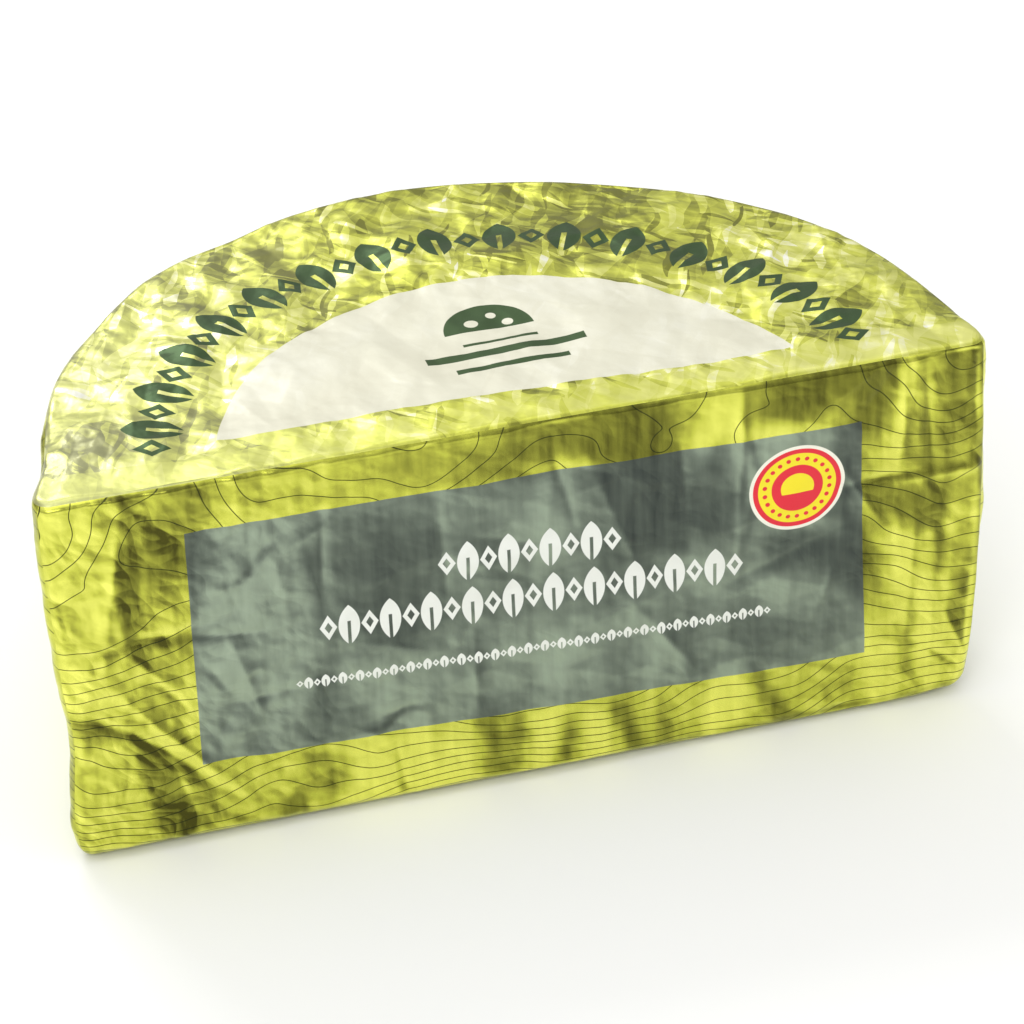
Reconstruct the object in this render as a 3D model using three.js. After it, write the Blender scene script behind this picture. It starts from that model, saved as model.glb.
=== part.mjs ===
// A half wheel of blue cheese shut tight in printed foil, standing on its base.
// Millimetres, +X along the flat cut face, -Y out of that face, +Z up.
// The foil has no thickness worth modelling, so the pack is one solid: the cheese's own
// form with the foil's creases, bands and pleats as relief in its skin.

import * as THREE from 'three';
import { mergeVertices } from 'three/addons/utils/BufferGeometryUtils.js';

// Driving dimensions of the cheese, a round wheel cut through its middle
const WHEEL_RADIUS = 100;
const WHEEL_HEIGHT = 89.3;
const CORNER_RADIUS = 4; // the two upright corners where cut face and rind meet
const TOP_EDGE_RADIUS = 2;
const BASE_EDGE_RADIUS = 5;
const SIDE_TAPER = 2; // how much each side draws in from the top down to the base

// How the cheese has settled out of true
const RIND_SWELLS = [
  // degrees round from the right end, half width in degrees, how far out or in the rind lies
  [12, 14, -1.6],
  [38, 14, 0.4],
  [64, 14, -0.9],
  [90, 14, 1.0],
  [114, 5, -1.2],
  [116, 14, 0.3],
  [128, 8, 0.8],
  [142, 14, -1.3],
  [168, 14, -3.5],
];
const SWELL_START = 15; // the swells grow over this far behind the cut face
const END_POWER = 4; // how steeply swells and bow rise from the middle to the rind
const RIGHT_BOW = 1.5; // the right end bulges this far, a little below its middle
const RIGHT_BOW_LOWER = 0.8; // 1 would put the bulge at the middle of the height
const EDGE_PUSHES = [
  // on the cut face's edges: x, height, reach of the push, push along x, push up
  [-100, 76, 12, -0.5, 0],
  [-98, 31, 10, 1.2, 0],
  [-98, 11, 6, -0.6, 0],
  [97, 2, 8, -0.9, 1.0],
];
const PUSH_DEPTH = 2; // the pushes reach this many times further back than along the face

// Depth and size of the foil's relief
const TOP_CREASE_DEPTH = 0.75;
const TOP_CREASE_SIZE = 17;
const TOP_FINE_CREASE_DEPTH = 0.35;
const TOP_FINE_CREASE_SIZE = 8;
const FRONT_BAND_DEPTH = 0.7;
const FRONT_BAND_WIDTH = 22;
const FRONT_BAND_STRETCH = 3; // the bands run this many times longer than wide, upright
const FRONT_CREASE_DEPTH = 0.45;
const FRONT_CREASE_SIZE = 11;
const SIDE_PLEAT_COUNT = 18;
const SIDE_PLEAT_DEPTH = 0.85; // at the base edge, fading out towards the top
const SIDE_PLEAT_WANDER = 0.6; // share of a pleat's width by which it leaves its upright line
const SIDE_CREASE_DEPTH = 0.6;
const SIDE_CREASE_SIZE = 15;
const BASE_FOLD_COUNT = 24;
const BASE_FOLD_DEPTH = 1; // gathered foil hollows between its folds under the base
const BASE_FLAT_RADIUS = 26; // smooth middle of the base, which the pack stands on
const BASE_FOLD_START = 12; // the folds deepen over this far outside the flat middle
const BASE_FOLD_RIM = [2, 16]; // and come up again between these distances from the rim
const UNEVEN_DEPTH = 0.2; // slow unevenness of the whole form
const UNEVEN_SIZE = 20;
const PLEAT_ENDS = [0.1, 0.3]; // sine of the angle over which the pleats grow at each end
const PLEAT_REACH = [26, 48]; // and how far out from the middle of the base
const PLEAT_BEHIND = [6, 24]; // and how far behind the cut face
const PLEAT_CALM = [2, 14]; // and how far from the two spots of the rind that stay smooth
const CORNER_FADE = [-0.69, -0.4]; // part of the outward direction where the rind's crumples fade
const BASE_TURN = [0.2, 0.9]; // part of the outward direction over which the base edge turns in
const FACE_TURN = [0.72, 0.98]; // and over which a face's own relief grows from its rounded edge
const BASE_HOLLOW_DEPTH = 0.2; // the gathered foil lies this much higher than the flat middle

// How finely the skin is divided
const STEPS_ALONG = 52;
const STEPS_DEEP = 24;
const STEPS_HIGH = 20;
const EDGE_GATHERING = 0.35; // 0 spaces the steps evenly, 1 crowds them at the edges
const SIDE_SPAN = 62; // length of the outline that each end of the grid takes
const REAR_DRAW = 18; // smaller draws the grid's inner points further in from its rear corners
const REAR_DRAW_REACH = [40, 25]; // how far that reaches along the rear and along the end

const FOIL_COLOUR = 0xb2b64d;
const FOIL_ROUGHNESS = 0.34;
const FOIL_METALNESS = 0.85;

// Plan outline: the cut line, one corner, the rind's arc and the other corner
const cornerMiddleX = Math.sqrt((WHEEL_RADIUS - CORNER_RADIUS) ** 2 - CORNER_RADIUS ** 2);
const cornerAngle = Math.atan2(CORNER_RADIUS, cornerMiddleX);
const planMiddle = new THREE.Vector2(0, WHEEL_RADIUS / 2);

const outline = new THREE.Path();
outline.moveTo(-cornerMiddleX, 0);
outline.lineTo(cornerMiddleX, 0);
outline.absarc(cornerMiddleX, CORNER_RADIUS, CORNER_RADIUS, -Math.PI / 2, cornerAngle);
outline.absarc(0, 0, WHEEL_RADIUS, cornerAngle, Math.PI - cornerAngle);
outline.absarc(-cornerMiddleX, CORNER_RADIUS, CORNER_RADIUS, Math.PI - cornerAngle, Math.PI * 1.5);

const outlineLength = outline.getLength();
const halfCorner = (CORNER_RADIUS * (Math.PI / 2 + cornerAngle)) / 2;
const frontSpan = 2 * cornerMiddleX + 2 * halfCorner;
const backSpan = outlineLength - frontSpan - 2 * SIDE_SPAN;
const rearCorners = [outlineAt(frontSpan + SIDE_SPAN), outlineAt(outlineLength - SIDE_SPAN)];

// Point of the outline at a length measured from the left corner's middle
function outlineAt(length) {
  const turn = (length - halfCorner) / outlineLength;
  return outline.getPoint(turn - Math.floor(turn));
}

// Steps that crowd towards both ends, where the edges are rounded
function gathered(t) {
  const crowded = (1 - Math.cos(Math.PI * t)) / 2;
  return THREE.MathUtils.lerp(t, crowded, EDGE_GATHERING);
}

// How far a grid point is drawn in near the two rear corners, where the rind runs straight
// on from the grid's end to its rear and would leave slivers
function rearDraw(along, deep) {
  const fromRear = (1 - deep) * SIDE_SPAN;
  const fromEnd = Math.min(along, 1 - along) * backSpan;
  const near = (fromEnd / REAR_DRAW_REACH[0]) ** 2 + (fromRear / REAR_DRAW_REACH[1]) ** 2;
  return ((fromEnd * fromRear) / REAR_DRAW) * Math.exp(-near);
}

// Plan point of a square grid stretched to the outline's four spans
function planPoint(along, deep) {
  const front = outlineAt(along * frontSpan);
  const right = outlineAt(frontSpan + deep * SIDE_SPAN);
  const back = outlineAt(frontSpan + SIDE_SPAN + (1 - along) * backSpan);
  const left = outlineAt(outlineLength - deep * SIDE_SPAN);
  const point = front.multiplyScalar(1 - deep).addScaledVector(back, deep);
  point.addScaledVector(left, 1 - along).addScaledVector(right, along);
  point.addScaledVector(outlineAt(0), -(1 - along) * (1 - deep));
  point.addScaledVector(outlineAt(frontSpan), -along * (1 - deep));
  point.addScaledVector(outlineAt(outlineLength - SIDE_SPAN), -(1 - along) * deep);
  point.addScaledVector(outlineAt(frontSpan + SIDE_SPAN), -along * deep);
  return point.setLength(point.length() - rearDraw(along, deep));
}

// Distance of a plan point inward from the outline, and the way straight out of it
function insideOutline(point) {
  const side = Math.sign(point.x);
  const fromCorner = new THREE.Vector2(point.x - side * cornerMiddleX, point.y - CORNER_RADIUS);
  const pastEnd = fromCorner.x * side > 0;
  if (pastEnd && fromCorner.y < fromCorner.x * side * Math.tan(cornerAngle)) {
    return { inward: CORNER_RADIUS - fromCorner.length(), outward: fromCorner.normalize() };
  }
  const toRind = WHEEL_RADIUS - point.length();
  if (point.y < toRind) {
    return { inward: point.y, outward: new THREE.Vector2(0, -1) };
  }
  return { inward: toRind, outward: point.clone().normalize() };
}

// Smooth form: the plan point raised to its height, with its upper and lower edges rounded
function smoothForm(along, deep, high) {
  const plan = planPoint(gathered(along), gathered(deep));
  const height = gathered(high) * WHEEL_HEIGHT;
  const { inward, outward } = insideOutline(plan);
  const upper = high > 0.5;
  const radius = upper ? TOP_EDGE_RADIUS : BASE_EDGE_RADIUS;
  const toCap = upper ? WHEEL_HEIGHT - height : height;
  const fromRound = new THREE.Vector2(
    Math.min(inward - radius, 0),
    Math.min(toCap - radius, 0),
  ).normalize();
  const moveIn = inward < radius ? radius * (1 + fromRound.x) - inward : 0;
  const moveAway = toCap < radius ? radius * (1 + fromRound.y) - toCap : 0;
  const way = upper ? -1 : 1;
  plan.addScaledVector(outward, -moveIn);
  return {
    point: new THREE.Vector3(plan.x, plan.y, height + way * moveAway),
    normal: new THREE.Vector3(
      -fromRound.x * outward.x,
      -fromRound.x * outward.y,
      way * fromRound.y,
    ),
  };
}

// Fixed number from -1 to 1 for each corner of a lattice
function latticeValue(corner, seed) {
  const wave = Math.sin(corner[0] * 127.1 + corner[1] * 311.7 + corner[2] * 74.7 + seed * 53.3);
  const fraction = wave * 43758.5453;
  return 2 * (fraction - Math.floor(fraction)) - 1;
}

// Relief that is flat between straight creases: the lattice's values joined over tetrahedra
function creases(point, size, seed) {
  const turned = point.clone().applyEuler(new THREE.Euler(seed * 1.3, seed * 2.1, seed * 0.7));
  const place = turned.divideScalar(size);
  const corner = place.clone().floor().toArray();
  const part = place.sub(new THREE.Vector3(...corner)).toArray();
  const order = [0, 1, 2].sort((a, b) => part[b] - part[a]);
  let value = (1 - part[order[0]]) * latticeValue(corner, seed);
  order.forEach((axis, step) => {
    const next = step < 2 ? part[order[step + 1]] : 0;
    corner[axis] += 1;
    value += (part[axis] - next) * latticeValue(corner, seed);
  });
  return value;
}

// A climb from 0 at the first limit to 1 at the second
function between(value, limits) {
  return THREE.MathUtils.smoothstep(value, limits[0], limits[1]);
}

// 1 on the flat of a face, 0 at the middle of its rounded edges
function ownFace(component) {
  return between(component, FACE_TURN);
}

// Upright pleats on the rind, deepest at the base edge where the foil is gathered,
// and carried round that edge under the base
function pleats(point, normal) {
  const angle = Math.atan2(point.y, point.x);
  const fallen = 1 - point.z / WHEEL_HEIGHT;
  const shown =
    between(Math.sin(angle), PLEAT_ENDS) *
    between(planMiddle.distanceTo(point), PLEAT_REACH) *
    between(point.y, PLEAT_BEHIND);
  const calm = rearCorners.map((corner) => between(corner.distanceTo(point), PLEAT_CALM));
  const wander = SIDE_PLEAT_WANDER * creases(point, SIDE_CREASE_SIZE * 2, 5);
  const wave = Math.cos(2 * Math.PI * ((SIDE_PLEAT_COUNT * angle) / Math.PI + wander));
  const depth = SIDE_PLEAT_DEPTH * shown * fallen * calm[0] * calm[1];
  return depth * (wave - between(-normal.z, BASE_TURN));
}

// Crumples of the foil pressed on the top
function topRelief(point, normal) {
  const crumples =
    TOP_CREASE_DEPTH * creases(point, TOP_CREASE_SIZE, 1) +
    TOP_FINE_CREASE_DEPTH * creases(point, TOP_FINE_CREASE_SIZE, 2);
  return ownFace(normal.z) * crumples;
}

// Soft upright bands down the cut face, with smaller dents between them
function frontRelief(point, normal) {
  const banded = new THREE.Vector3(point.x, point.y, point.z / FRONT_BAND_STRETCH);
  const bands =
    FRONT_BAND_DEPTH * creases(banded, FRONT_BAND_WIDTH, 3) +
    FRONT_CREASE_DEPTH * creases(point, FRONT_CREASE_SIZE, 4);
  return ownFace(-normal.y) * bands;
}

// Scattered crumples on the rind
function sideRelief(point, normal) {
  const onRind = ownFace(Math.hypot(normal.x, normal.y)) * between(normal.y, CORNER_FADE);
  return onRind * SIDE_CREASE_DEPTH * creases(point, SIDE_CREASE_SIZE, 6);
}

// Folds gathered towards the flat middle of the base, hollow between them and never proud
function baseRelief(point, normal) {
  const fromMiddle = new THREE.Vector2(point.x, point.y).sub(planMiddle);
  const start = fromMiddle.length() - BASE_FLAT_RADIUS;
  const turns = (BASE_FOLD_COUNT * fromMiddle.angle()) / (2 * Math.PI);
  const fold = Math.abs(2 * (turns - Math.floor(turns)) - 1);
  const { inward } = insideOutline(new THREE.Vector2(point.x, point.y));
  const folded = BASE_FOLD_DEPTH * fold * between(inward, BASE_FOLD_RIM);
  const shown = ownFace(-normal.z) * between(start, [0, BASE_FOLD_START]);
  return -shown * (folded + BASE_HOLLOW_DEPTH);
}

// How far the foil stands out from the cheese's smooth form, or lies in from it
function relief(point, normal) {
  const uneven = UNEVEN_DEPTH * creases(point, UNEVEN_SIZE, 7);
  return (
    (1 - between(-normal.z, BASE_TURN)) * uneven +
    pleats(point, normal) +
    topRelief(point, normal) +
    frontRelief(point, normal) +
    sideRelief(point, normal) +
    baseRelief(point, normal)
  );
}

// The cheese isn't true: its rind swells and flattens, its right end bows, corners are pushed
function settle(point) {
  const { x, y, z } = point;
  const degrees = THREE.MathUtils.radToDeg(Math.atan2(y, x));
  const reach = Math.hypot(x, y);
  let out = 0;
  RIND_SWELLS.forEach(([where, width, amount]) => {
    out += amount * Math.exp(-(((degrees - where) / width) ** 2));
  });
  out *= (reach / WHEEL_RADIUS) ** END_POWER * between(y, [0, SWELL_START]);
  const swollen = out / Math.max(reach, 1);
  const end = (Math.max(x, 0) / WHEEL_RADIUS) ** END_POWER;
  const share = THREE.MathUtils.clamp(z / WHEEL_HEIGHT, 0, 1) ** RIGHT_BOW_LOWER;
  point.x += x * swollen + RIGHT_BOW * end * Math.sin(Math.PI * share);
  point.y += y * swollen;
  EDGE_PUSHES.forEach(([atX, atZ, size, pushX, pushZ]) => {
    const distance = Math.hypot(x - atX, z - atZ, y / PUSH_DEPTH);
    const near = Math.exp(-((distance / size) ** 2));
    point.x += pushX * near;
    point.z += pushZ * near;
  });
}

// The sides draw in towards the base, evenly all round except at the cut face
function drawIn(point) {
  const shrink = 1 - (SIDE_TAPER / WHEEL_RADIUS) * (1 - point.z / WHEEL_HEIGHT);
  point.x *= shrink;
  point.y *= shrink;
}

// A finely divided box is stretched over the form, vertex by vertex
function foilWrappedHalfWheel() {
  const box = new THREE.BoxGeometry(1, 1, 1, STEPS_ALONG, STEPS_DEEP, STEPS_HIGH);
  box.deleteAttribute('normal');
  box.deleteAttribute('uv');
  const skin = mergeVertices(box);
  const places = skin.getAttribute('position');
  for (let i = 0; i < places.count; i += 1) {
    const along = places.getX(i) + 0.5;
    const deep = places.getY(i) + 0.5;
    const high = places.getZ(i) + 0.5;
    const { point, normal } = smoothForm(along, deep, high);
    const depth = relief(point, normal);
    point.addScaledVector(normal, depth);
    settle(point);
    drawIn(point);
    places.setXYZ(i, point.x, point.y, point.z);
  }
  return skin;
}

// The pack stands on its lowest facets, centred over the middle of its footprint
function standOnOrigin(geometry) {
  geometry.computeBoundingBox();
  const { min, max } = geometry.boundingBox;
  geometry.translate(-(min.x + max.x) / 2, -(min.y + max.y) / 2, -min.z);
  geometry.computeVertexNormals();
  return geometry;
}

const foil = new THREE.MeshStandardMaterial({
  color: FOIL_COLOUR,
  roughness: FOIL_ROUGHNESS,
  metalness: FOIL_METALNESS,
});

const halfWheel = new THREE.Mesh(standOnOrigin(foilWrappedHalfWheel()), foil);
halfWheel.name = 'foil_wrapped_half_wheel';

const pack = new THREE.Group();
pack.add(halfWheel);

export default pack;
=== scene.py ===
import math

import bpy
import numpy as np
from mathutils import Euler, Matrix, Vector


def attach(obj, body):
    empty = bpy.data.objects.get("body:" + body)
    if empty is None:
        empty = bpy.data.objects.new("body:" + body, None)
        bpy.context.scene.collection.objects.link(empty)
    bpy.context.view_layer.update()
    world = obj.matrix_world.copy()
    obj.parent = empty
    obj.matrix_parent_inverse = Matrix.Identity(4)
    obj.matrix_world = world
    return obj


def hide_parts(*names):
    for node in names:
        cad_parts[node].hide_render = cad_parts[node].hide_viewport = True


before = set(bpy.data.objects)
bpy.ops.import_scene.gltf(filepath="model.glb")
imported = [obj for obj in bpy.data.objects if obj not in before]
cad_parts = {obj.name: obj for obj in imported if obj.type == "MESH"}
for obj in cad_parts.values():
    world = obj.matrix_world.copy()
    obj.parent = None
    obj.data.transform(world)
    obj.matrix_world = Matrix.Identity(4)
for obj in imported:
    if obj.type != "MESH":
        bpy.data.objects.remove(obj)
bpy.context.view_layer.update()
wrapped_node = "foil_wrapped_half_wheel"

# Camera
# The photo looks down on the cut face from a little to its left, with a long lens
# and the picture turned very slightly. It aims near the top edge of the cut face.
metre = 0.001  # one millimetre: sizes of the pack below are in millimetres
view_azimuth = math.radians(-14.83)
view_elevation = math.radians(33.65)
view_roll = math.radians(-1.86)
view_distance = 0.907
view_aim = Vector((-0.0030, -0.0500, 0.0685))
view_back = Vector((
    math.sin(view_azimuth) * math.cos(view_elevation),
    -math.cos(view_azimuth) * math.cos(view_elevation),
    math.sin(view_elevation),
))
level_right = Vector((math.cos(view_azimuth), math.sin(view_azimuth), 0))
level_up = view_back.cross(level_right)
view_right = level_right * math.cos(view_roll) + level_up * math.sin(view_roll)
view_up = level_up * math.cos(view_roll) - level_right * math.sin(view_roll)

camera = bpy.data.objects.new("Camera", bpy.data.cameras.new("Camera"))
camera.data.sensor_width = 36
camera.data.lens = 157.2
camera.data.clip_start = 0.05
camera.data.clip_end = 20
camera.matrix_world = Matrix.Translation(view_aim + view_back * view_distance) @ Matrix(
    (view_right, view_up, view_back)
).transposed().to_4x4()
bpy.context.scene.collection.objects.link(camera)
bpy.context.scene.camera = camera

# Foil on the cut face
# Thin aluminium foil, lacquered yellow-green and printed with fine contour lines, a
# grey-green panel and a round seal. It is pulled tight over the cheese's flat cut face,
# where it keeps soft upright bands and a few sharp dents, mostly at the left end.

# The half wheel of cheese that the foil takes its form from, cut through its middle
wheel_radius = 100
wheel_height = 89.3
corner_radius = 4
top_edge_radius = 2
base_edge_radius = 5
side_taper = 2
side_span = 62
corner_x = math.sqrt((wheel_radius - corner_radius) ** 2 - corner_radius**2)
corner_angle = math.atan2(corner_radius, corner_x)
left_corner_middle = (math.pi - corner_angle + 1.5 * math.pi) / 2

# How finely each sheet of foil is divided
front_steps = (440, 200)
edge_gathering = 0.25


def arc(middle_x, middle_y, radius, start, end, steps=600):
    """Points of one round stretch of the outline."""
    turn = np.linspace(start, end, steps)
    return np.stack([middle_x + radius * np.cos(turn), middle_y + radius * np.sin(turn)], -1)


outline = np.concatenate([
    arc(-corner_x, corner_radius, corner_radius, left_corner_middle, 1.5 * math.pi),
    arc(corner_x, corner_radius, corner_radius, -math.pi / 2, corner_angle),
    arc(0, 0, wheel_radius, corner_angle, math.pi - corner_angle),
    arc(-corner_x, corner_radius, corner_radius, math.pi - corner_angle, left_corner_middle),
])
walked = np.concatenate([[0], np.cumsum(np.linalg.norm(np.diff(outline, axis=0), axis=1))])
outline_length = walked[-1]
front_span = 2 * corner_x + corner_radius * (math.pi / 2 + corner_angle)
back_span = outline_length - front_span - 2 * side_span


def outline_at(length):
    """Plan point at a length along the outline from the left corner's middle."""
    length = length % outline_length
    return np.stack([np.interp(length, walked, outline[:, k]) for k in (0, 1)], -1)


def gathered(t):
    """Steps that crowd towards both ends, where the edges are rounded."""
    return t + edge_gathering * ((1 - np.cos(np.pi * t)) / 2 - t)


def plan_point(along, deep):
    """Plan point of a square grid stretched to the outline's four spans."""
    near, far = 1 - deep[..., None], deep[..., None]
    left, right = 1 - along[..., None], along[..., None]
    return (
        near * outline_at(along * front_span)
        + far * outline_at(front_span + side_span + (1 - along) * back_span)
        + left * outline_at(outline_length - deep * side_span)
        + right * outline_at(front_span + deep * side_span)
        - left * near * outline[0]
        - right * near * outline_at(front_span)
        - left * far * outline_at(outline_length - side_span)
        - right * far * outline_at(front_span + side_span)
    )


def inside_outline(plan):
    """Distance inward from the outline, and the way straight out of it."""
    corner = np.stack([np.sign(plan[..., 0]) * corner_x, np.full(plan.shape[:-1], corner_radius)], -1)
    from_corner = plan - corner
    corner_reach = np.linalg.norm(from_corner, axis=-1)
    middle_reach = np.linalg.norm(plan, axis=-1)
    past_end = np.abs(plan[..., 0]) > corner_x
    in_corner = past_end & (from_corner[..., 1] < np.abs(from_corner[..., 0]) * math.tan(corner_angle))
    at_front = plan[..., 1] < wheel_radius - middle_reach
    inward = np.where(at_front, plan[..., 1], wheel_radius - middle_reach)
    outward = np.where(
        at_front[..., None], (0, -1), plan / np.maximum(middle_reach, 1e-9)[..., None]
    )
    inward = np.where(in_corner, corner_radius - corner_reach, inward)
    outward = np.where(
        in_corner[..., None], from_corner / np.maximum(corner_reach, 1e-9)[..., None], outward
    )
    return inward, outward


def smooth_form(along, deep, high):
    """Points and outward directions of the cheese's form, with rounded upper and lower edges."""
    plan = plan_point(gathered(along), gathered(deep))
    height = gathered(high) * wheel_height
    inward, outward = inside_outline(plan)
    upper = high > 0.5
    radius = np.where(upper, top_edge_radius, base_edge_radius)
    to_cap = np.where(upper, wheel_height - height, height)
    from_round = np.stack([np.minimum(inward - radius, 0), np.minimum(to_cap - radius, 0)], -1)
    from_round /= np.maximum(np.linalg.norm(from_round, axis=-1), 1e-9)[..., None]
    move_in = np.where(inward < radius, radius * (1 + from_round[..., 0]) - inward, 0)
    move_away = np.where(to_cap < radius, radius * (1 + from_round[..., 1]) - to_cap, 0)
    way = np.where(upper, -1, 1)
    plan = plan - outward * move_in[..., None]
    point = np.concatenate([plan, (height + way * move_away)[..., None]], -1)
    normal = np.concatenate(
        [-from_round[..., :1] * outward, (way * from_round[..., 1])[..., None]], -1
    )
    return point, normal


def creases(point, size, seed):
    """Relief from -1 to 1 that is flat between straight creases about a size apart."""
    turn = np.array(Euler((seed * 1.3, seed * 2.1, seed * 0.7), "ZYX").to_matrix())
    place = point @ turn.T / size
    corner = np.floor(place)
    part = place - corner
    order = np.argsort(-part, axis=-1)
    ordered = np.take_along_axis(part, order, -1)
    first, last = 1 - ordered[..., :1], ordered[..., 2:]
    weights = np.concatenate([first, ordered[..., :2] - ordered[..., 1:], last], -1)
    value = np.zeros(place.shape[:-1])
    for step in range(4):
        # The digits far behind a large sine's point serve as this lattice corner's chance height
        wave = np.sin(corner @ (127.1, 311.7, 74.7) + seed * 53.3) * 43758.5453
        value += weights[..., step] * (2 * (wave - np.floor(wave)) - 1)
        if step < 3:
            corner = corner + np.eye(3)[order[..., step]]
    return value


def eased(value, start, end):
    """0 below start, 1 above end and a smooth climb between."""
    t = np.clip((value - start) / (end - start), 0, 1)
    return t * t * (3 - 2 * t)


# Part of the surface's outward direction that lies across a face, where its own relief
# starts and where it is full
face_turn = (0.72, 0.98)


def own_face(component):
    """1 on the flat of a face, 0 at the middle of its rounded edges."""
    return eased(component, *face_turn)


def turned_under(normal):
    """1 where the surface faces the ground, 0 on the upright sides."""
    return eased(-normal[..., 2], 0.2, 0.9)


def swell(point, normal):
    """Slow unevenness that all the sheets share, so that they meet at the edges."""
    return (1 - turned_under(normal)) * (0.2 * creases(point, 20, 7) + 0.1 * creases(point, 9, 8))


# Where the rind swells or flattens: degrees round from the right end, half width, how far out
rind_swells = (
    (12, 14, -1.6),
    (38, 14, 0.4),
    (64, 14, -0.9),
    (90, 14, 1.0),
    (114, 5, -1.2),
    (116, 14, 0.3),
    (128, 8, 0.8),
    (142, 14, -1.3),
    (168, 14, -3.5),
)

# Where the cut face's own edges are pushed: x, height, reach of the push, push in x and z
edge_pushes = (
    (-100, 76, 12, -0.5, 0),
    (-98, 31, 10, 1.2, 0),
    (-98, 11, 6, -0.6, 0),
    (97, 2, 8, -0.9, 1.0),
)
push_depth = 2  # how much further a push reaches into the cheese than along its face

# How far the right end bows out, and where between base and top it does so most
right_bow = 1.5
bow_height = 0.8


def settled(point):
    """The form as the cheese has settled: an uneven rind, pushed corners and a bowed right end."""
    x, y, z = point[..., 0], point[..., 1], point[..., 2]
    turned = np.degrees(np.arctan2(y, x))
    reach = np.hypot(x, y)
    swollen = sum(out * np.exp(-(((turned - at) / wide) ** 2)) for at, wide, out in rind_swells)
    swollen *= (reach / wheel_radius) ** 4 * eased(y, 0, 15) / np.maximum(reach, 1)
    share = np.clip(z / wheel_height, 0, 1) ** bow_height
    bowed = right_bow * (np.maximum(x, 0) / wheel_radius) ** 4 * np.sin(np.pi * share)
    move_x, move_z = bowed + x * swollen, 0
    for at_x, at_z, size, push_x, push_z in edge_pushes:
        near = np.exp(-((x - at_x) ** 2 + (z - at_z) ** 2 + (y / push_depth) ** 2) / size**2)
        move_x, move_z = move_x + push_x * near, move_z + push_z * near
    return point + np.stack([move_x, y * swollen, move_z + 0 * x], -1)


def draw_in(point):
    """The sides draw in towards the base, evenly all round except at the cut face."""
    shrink = 1 - side_taper / wheel_radius * (1 - point[..., 2:] / wheel_height)
    return point * np.concatenate([shrink, shrink, np.ones_like(shrink)], -1)


def lean(formed, smooth_normal, favoured):
    """How far each spot of a sheet leans out of its smooth form towards a favoured direction."""
    normal = np.cross(np.gradient(formed, axis=1), np.gradient(formed, axis=0))
    normal /= np.linalg.norm(normal, axis=-1)[..., None]
    return own_face(np.abs(smooth_normal).max(-1)) * ((normal - smooth_normal) @ np.array(favoured))


def keep(sheet, name, value):
    """Keeps a value at each vertex of a sheet, for its finish to use."""
    kept = sheet.data.attributes.new(name, "FLOAT", "POINT")
    kept.data.foreach_set("value", value.astype(np.float32).ravel())


def set_painted_light_and_mottle(sheet, tone):
    """Keeps the tone of painted light and random mottling, from 0 for the darkest painted shade to 1 for
    the palest painted highlight, held off both ends.
    """
    middle, most_change, steepness = 0.5, 0.42, 2.5
    keep(sheet, "tone", middle + most_change * np.tanh(steepness * (tone - middle)))


def set_painted_crumple_strength(sheet, crumpled):
    """How strongly the painted shading of the foil's smallest crumples shows."""
    keep(sheet, "crumpled", crumpled)


def foil_sheet(name, along, deep, high, own_relief, bake_place):
    """One sheet of foil over a grid of the form, with its creases, as a piece of the pack."""
    along, deep, high = np.broadcast_arrays(along, deep, high)
    point, normal = smooth_form(along, deep, high)
    depth = swell(point, normal) + own_relief(point, normal)
    formed = draw_in(settled(point + normal * depth[..., None])) - (0, wheel_radius / 2, 0)
    rows, columns = along.shape
    mesh = bpy.data.meshes.new(name)
    first = (np.arange(rows - 1)[:, None] * columns + np.arange(columns - 1)).ravel()
    quads = np.stack([first, first + 1, first + columns + 1, first + columns], -1)
    mesh.from_pydata((formed.reshape(-1, 3) * metre).tolist(), [], quads.tolist())
    mesh.shade_smooth()
    bake = mesh.uv_layers.new(name="OFBake")
    places = np.stack(bake_place(point), -1).reshape(-1, 2)
    corners = np.empty(len(mesh.loops), np.int32)
    mesh.loops.foreach_get("vertex_index", corners)
    bake.uv.foreach_set("vector", places[corners].astype(np.float32).ravel())
    sheet = bpy.data.objects.new(name, mesh)
    bpy.context.scene.collection.objects.link(sheet)
    return sheet, formed, normal


def spread(value):
    """A stretch of the surface laid over the picture it is baked to, with a thin margin."""
    margin = 0.01
    return margin + (1 - 2 * margin) * (value - value.min()) / (value.max() - value.min())


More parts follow.
